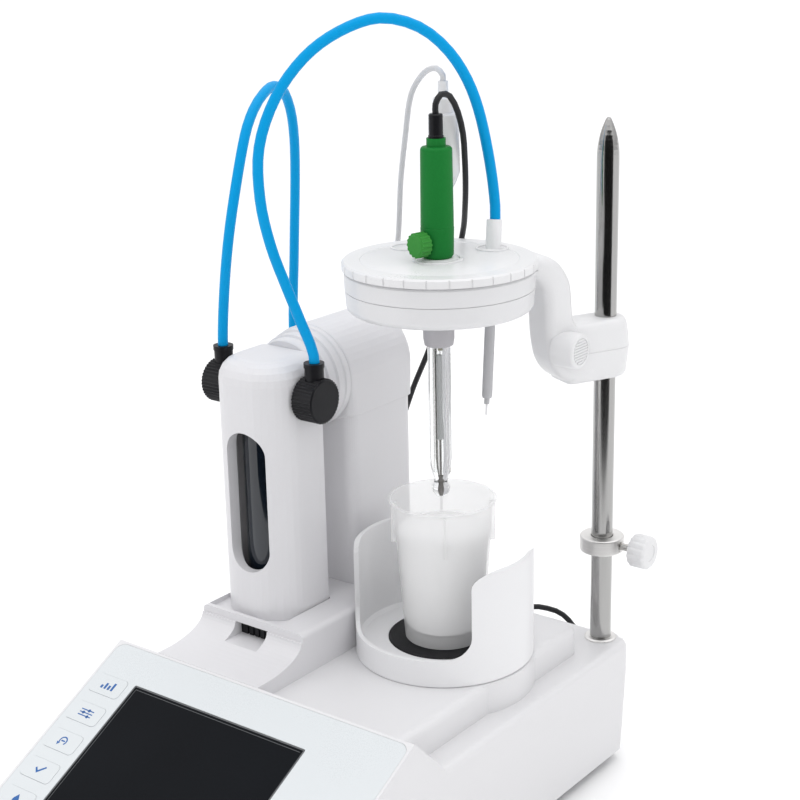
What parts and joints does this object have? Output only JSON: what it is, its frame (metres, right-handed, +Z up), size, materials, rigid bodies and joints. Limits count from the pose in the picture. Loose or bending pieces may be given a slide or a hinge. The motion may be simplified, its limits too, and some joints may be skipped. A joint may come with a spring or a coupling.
{
  "type": "automatic titrator",
  "caption": "Desktop automatic titrator with burette pump, magnetic stirrer, beaker and an electrode holder that slides and swivels on a rod.",
  "frame": {"origin": "centre of the base's footprint, on the table", "axes": "+X to the right of someone who reads the display, +Y to the rear, +Z up"},
  "size_m": [0.227, 0.3639, 0.4337],
  "materials": {
    "housing_white": "satin moulded plastic",
    "key_film": "glossy film",
    "dark_window": "gloss",
    "black_plastic": "satin",
    "grey_plastic": "satin",
    "circuit_board": "solder mask",
    "rubber": "matt",
    "steel": "brushed",
    "motor_metal": "satin",
    "valve_ceramic": "satin",
    "clear_glass": "clear",
    "frosted_plastic": "frosted translucent",
    "green_plastic": "satin",
    "tip_plastic": "satin",
    "blue_hose": "satin",
    "black_cable": "satin",
    "white_cable": "satin"
  },
  "bodies": {
    "root": {"base_tray": "housing_white", "base_cover": "housing_white", "bottom_plate": "grey_plastic", "rubber_feet": "rubber", "display_housing": "housing_white", "display_film": "key_film", "display_window": "dark_window", "display_board": "grey_plastic", "main_board": "circuit_board", "rear_panel": "grey_plastic", "rear_sockets": "steel", "pump_dock": "housing_white", "tower_shell": "housing_white", "valve_neck": "housing_white", "valve_motor": "motor_metal", "pump_motor": "motor_metal", "guide_rod": "steel", "burette_shell": "housing_white", "burette_glass": "clear_glass", "valve_block": "valve_ceramic", "hose_elbow_left": "black_plastic", "hose_elbow_right": "black_plastic", "stirrer_guard": "housing_white", "stirrer_pad": "black_plastic", "stirrer_motor": "motor_metal", "support_rod": "steel", "rod_socket": "steel", "aspiration_hose": "blue_hose", "dosing_hose": "blue_hose", "electrode_cable": "black_cable", "probe_cable": "white_cable", "cable_plugs": "black_plastic"},
    "key_1": {"key_1": "key_film"},
    "key_2": {"key_2": "key_film"},
    "key_3": {"key_3": "key_film"},
    "key_4": {"key_4": "key_film"},
    "key_5": {"key_5": "key_film"},
    "power_switch": {"power_switch": "black_plastic"},
    "burette_latch": {"burette_latch": "black_plastic"},
    "valve_rotor": {"valve_rotor": "valve_ceramic"},
    "leadscrew": {"leadscrew": "steel"},
    "piston": {"piston_carriage": "grey_plastic", "piston": "valve_ceramic"},
    "stirrer_rotor": {"stirrer_rotor": "steel"},
    "beaker": {"beaker": "frosted_plastic"},
    "stop_collar": {"stop_collar": "steel"},
    "collar_screw": {"collar_screw": "steel"},
    "rod_bushing": {"rod_bushing": "grey_plastic"},
    "holder": {"holder_arm": "housing_white", "holder_body": "housing_white", "insert_plate": "housing_white", "electrode_cap": "green_plastic", "electrode_relief": "black_plastic", "electrode_glass": "clear_glass", "probe_handle": "housing_white", "probe_tube": "steel", "dose_tip": "tip_plastic"},
    "release_button": {"release_button": "housing_white"},
    "lock_ring": {"lock_ring": "housing_white"},
    "fill_screw": {"fill_screw": "green_plastic"}
  },
  "joints": [
    {"name": "key_1_press", "type": "slide", "parent": "root", "child": "key_1", "axis": [0, 0.4695, -0.8829], "range_m": [0, 0.0005], "stiffness_N_per_m": 400},
    {"name": "key_2_press", "type": "slide", "parent": "root", "child": "key_2", "axis": [0, 0.4695, -0.8829], "range_m": [0, 0.0005], "stiffness_N_per_m": 400},
    {"name": "key_3_press", "type": "slide", "parent": "root", "child": "key_3", "axis": [0, 0.4695, -0.8829], "range_m": [0, 0.0005], "stiffness_N_per_m": 400},
    {"name": "key_4_press", "type": "slide", "parent": "root", "child": "key_4", "axis": [0, 0.4695, -0.8829], "range_m": [0, 0.0005], "stiffness_N_per_m": 400},
    {"name": "key_5_press", "type": "slide", "parent": "root", "child": "key_5", "axis": [0, 0.4695, -0.8829], "range_m": [0, 0.0005], "stiffness_N_per_m": 400},
    {"name": "power_rock", "type": "hinge", "parent": "root", "child": "power_switch", "pos_m": [-0.054, 0.1545, 0.03], "axis": [1, 0, 0], "range_deg": [-14, 0]},
    {"name": "latch_press", "type": "slide", "parent": "root", "child": "burette_latch", "axis": [0, 1, 0], "range_m": [0, 0.003], "stiffness_N_per_m": 300},
    {"name": "valve_turn", "type": "hinge", "parent": "root", "child": "valve_rotor", "pos_m": [-0.0445, 0.01815, 0.2366], "axis": [0, 1, 0], "range_deg": [0, 90]},
    {"name": "piston_stroke", "type": "slide", "parent": "root", "child": "piston", "axis": [0, 0, 1], "range_m": [0, 0.072]},
    {"name": "leadscrew_turn", "type": "hinge", "parent": "root", "child": "leadscrew", "pos_m": [-0.0445, 0.0799, 0.06], "axis": [0, 0, 1], "range_deg": [0, 3240]},
    {"name": "stirrer_spin", "type": "hinge", "parent": "root", "child": "stirrer_rotor", "pos_m": [0.0414, 0.057, 0.06], "axis": [0, 0, 1], "continuous": true},
    {"name": "beaker_lift", "type": "slide", "parent": "root", "child": "beaker", "axis": [0, 0, 1], "range_m": [0, 0.03]},
    {"name": "collar_slide", "type": "slide", "parent": "root", "child": "stop_collar", "axis": [0, 0, 1], "range_m": [-0.045, 0.02]},
    {"name": "collar_screw_turn", "type": "hinge", "parent": "stop_collar", "child": "collar_screw", "pos_m": [0.0994, 0.1492, 0.1349], "axis": [1, 0, 0], "continuous": true},
    {"name": "holder_height", "type": "slide", "parent": "root", "child": "rod_bushing", "axis": [0, 0, 1], "range_m": [-0.045, 0.075], "deforming": ["dosing_hose", "electrode_cable", "probe_cable"]},
    {"name": "holder_swivel", "type": "hinge", "parent": "rod_bushing", "child": "holder", "pos_m": [0.0854, 0.1492, 0.251], "axis": [0, 0, 1], "range_deg": [0, 75]},
    {"name": "release_press", "type": "slide", "parent": "holder", "child": "release_button", "axis": [-1, 0, 0], "range_m": [0, 0.003], "stiffness_N_per_m": 300},
    {"name": "lock_ring_turn", "type": "hinge", "parent": "holder", "child": "lock_ring", "pos_m": [0.0414, 0.057, 0.309], "axis": [0, 0, 1], "range_deg": [0, 20]},
    {"name": "fill_screw_turn", "type": "hinge", "parent": "holder", "child": "fill_screw", "pos_m": [0.0422, 0.0544, 0.3205], "axis": [-0.2079, -0.9781, 0], "range_deg": [0, 90]}
  ],
  "couplings": [
    {"joint": "leadscrew_turn", "follows": "piston_stroke", "rad_per_m": 785.4}
  ]
}
